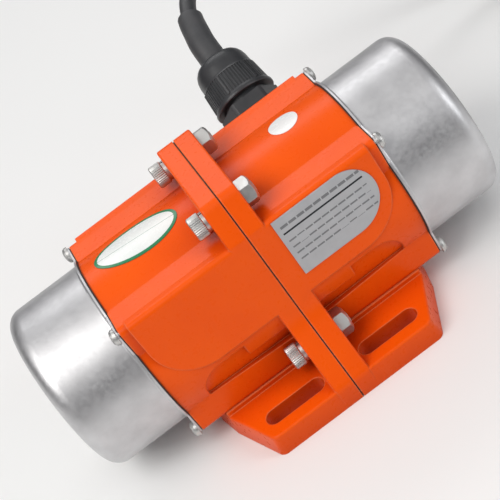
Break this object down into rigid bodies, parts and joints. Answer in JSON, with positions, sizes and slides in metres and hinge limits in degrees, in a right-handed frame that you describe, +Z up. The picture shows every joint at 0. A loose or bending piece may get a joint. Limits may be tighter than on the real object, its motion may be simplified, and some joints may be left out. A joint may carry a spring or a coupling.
{
  "type": "vibration motor",
  "caption": "Foot-mounted electric vibration motor with split cast housing, domed end covers, eccentric weights and a cable gland.",
  "frame": {"origin": "middle of the four foot slots, on the underside of the feet, below the shaft axis", "axes": "+X along the shaft towards the end cover beside the cable gland, +Y towards the gland side, +Z up"},
  "size_m": [0.4048, 0.2178, 0.1159],
  "materials": {
    "orange_paint": "gloss powder coat",
    "brushed_stainless": "satin, pressed sheet",
    "bright_fastener": "bright",
    "black_gasket": "matt",
    "copper_winding": "varnished wire",
    "bearing_steel": "ground",
    "core_steel": "laminated, oiled",
    "cast_aluminium": "as cast",
    "weight_iron": "phosphated",
    "black_nylon": "moulded",
    "black_sleeve": "satin",
    "black_cable": "satin",
    "core_insulation": "smooth",
    "tinned_copper": "tinned",
    "plate_metal": "satin",
    "label_white": "gloss film"
  },
  "bodies": {
    "housing": {"right_housing": "orange_paint", "left_housing": "orange_paint", "joint_gasket": "black_gasket", "flange_screws": "bright_fastener", "flange_spring_washers": "bright_fastener", "flange_nuts": "bright_fastener", "right_cover_gasket": "black_gasket", "left_cover_gasket": "black_gasket", "right_end_cover": "brushed_stainless", "left_end_cover": "brushed_stainless", "right_cover_screws": "bright_fastener", "left_cover_screws": "bright_fastener", "right_end_winding": "copper_winding", "left_end_winding": "copper_winding", "right_bearing_outer_ring": "bearing_steel", "left_bearing_outer_ring": "bearing_steel", "right_shaft_seal": "black_gasket", "left_shaft_seal": "black_gasket", "wave_washer": "bearing_steel", "stator_core": "core_steel", "gland_gasket": "black_gasket", "gland_body": "black_nylon", "gland_nut": "black_nylon", "gland_seal": "black_gasket", "cable_sleeve": "black_sleeve", "cable_inner_end": "black_cable", "cable": "black_cable", "cable_coil": "black_cable", "cable_tail": "black_cable", "lead_cores": "core_insulation", "ferrules": "tinned_copper", "nameplate": "plate_metal", "oval_label": "label_white", "round_label": "label_white"},
    "rotor": {"shaft": "bearing_steel", "rotor_core": "core_steel", "rotor_end_rings": "cast_aluminium", "right_bearing_inner_ring": "bearing_steel", "left_bearing_inner_ring": "bearing_steel", "right_weight_key": "bearing_steel", "left_weight_key": "bearing_steel", "right_fixed_weight": "weight_iron", "left_fixed_weight": "weight_iron", "right_fixed_weight_screw": "bright_fastener", "left_fixed_weight_screw": "bright_fastener", "right_circlip": "bearing_steel", "left_circlip": "bearing_steel"},
    "right_outer_weight": {"right_adjustable_weight": "weight_iron", "right_adjustable_weight_screw": "bright_fastener"},
    "right_ball_set": {"right_bearing_balls": "bearing_steel"},
    "left_outer_weight": {"left_adjustable_weight": "weight_iron", "left_adjustable_weight_screw": "bright_fastener"},
    "left_ball_set": {"left_bearing_balls": "bearing_steel"}
  },
  "joints": [
    {"name": "rotor_spin", "type": "hinge", "parent": "housing", "child": "rotor", "pos_m": [0, 0, 0.052], "axis": [1, 0, 0], "continuous": true},
    {"name": "right_weight_setting", "type": "hinge", "parent": "rotor", "child": "right_outer_weight", "pos_m": [0.09, 0, 0.052], "axis": [1, 0, 0], "range_deg": [0, 180]},
    {"name": "left_weight_setting", "type": "hinge", "parent": "rotor", "child": "left_outer_weight", "pos_m": [-0.09, 0, 0.052], "axis": [1, 0, 0], "range_deg": [0, 180]},
    {"name": "right_balls_roll", "type": "hinge", "parent": "housing", "child": "right_ball_set", "pos_m": [0.053, 0, 0.052], "axis": [1, 0, 0], "continuous": true},
    {"name": "left_balls_roll", "type": "hinge", "parent": "housing", "child": "left_ball_set", "pos_m": [-0.053, 0, 0.052], "axis": [1, 0, 0], "continuous": true}
  ],
  "couplings": [
    {"joint": "right_balls_roll", "follows": "rotor_spin", "ratio": 0.3842},
    {"joint": "left_balls_roll", "follows": "rotor_spin", "ratio": 0.3842}
  ]
}
